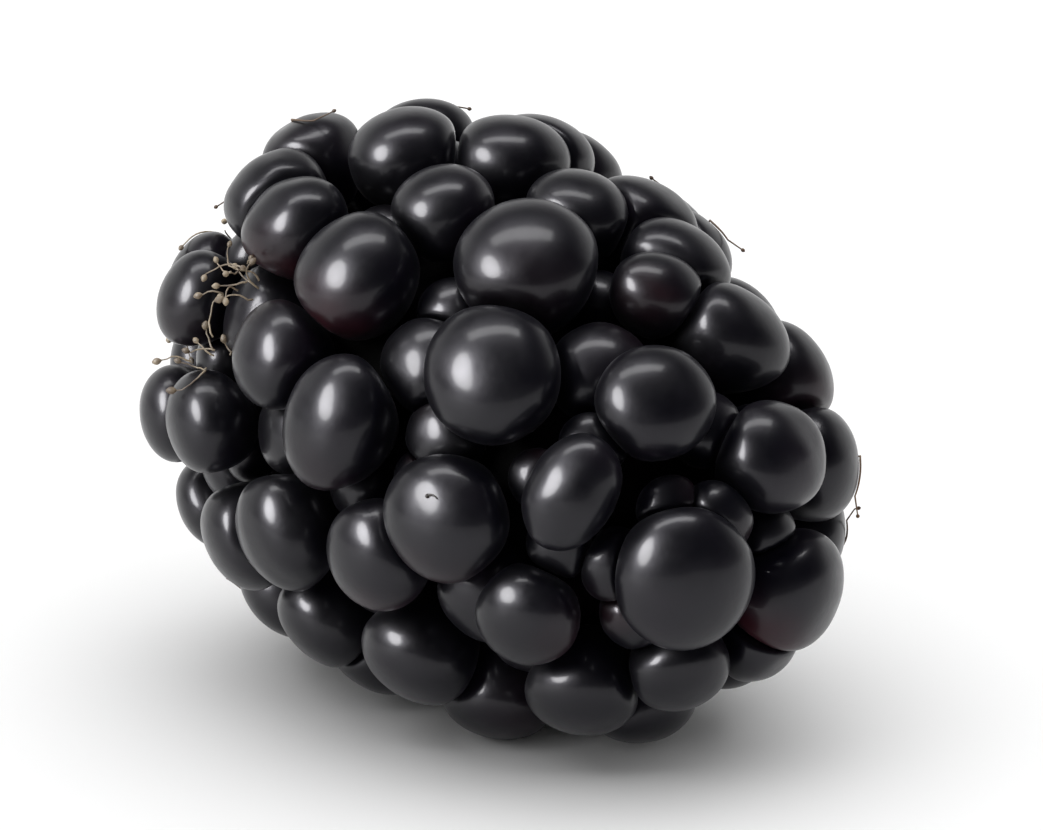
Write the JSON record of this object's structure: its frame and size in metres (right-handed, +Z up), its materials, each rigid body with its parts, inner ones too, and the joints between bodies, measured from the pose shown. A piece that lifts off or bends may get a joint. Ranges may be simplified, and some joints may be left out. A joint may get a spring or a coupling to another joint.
{
  "type": "bramble berry",
  "caption": "Ripe bramble berry, picked: glossy near-black drupelets grown together into one tapering fruit, lying on its side.",
  "frame": {"origin": "on the surface that the berry rests on, under the middle of its box", "axes": "+X from the stem end to the tip, along the berry's length; +Z up from the resting surface; +Y across, away from the side that shows most"},
  "size_m": [0.0298, 0.0221, 0.022],
  "materials": {
    "berry_skin": "gloss",
    "receptacle": "matte",
    "dry_fibre": "matte"
  },
  "bodies": {
    "root": {"bramble_berry": "berry_skin"}
  },
  "joints": []
}
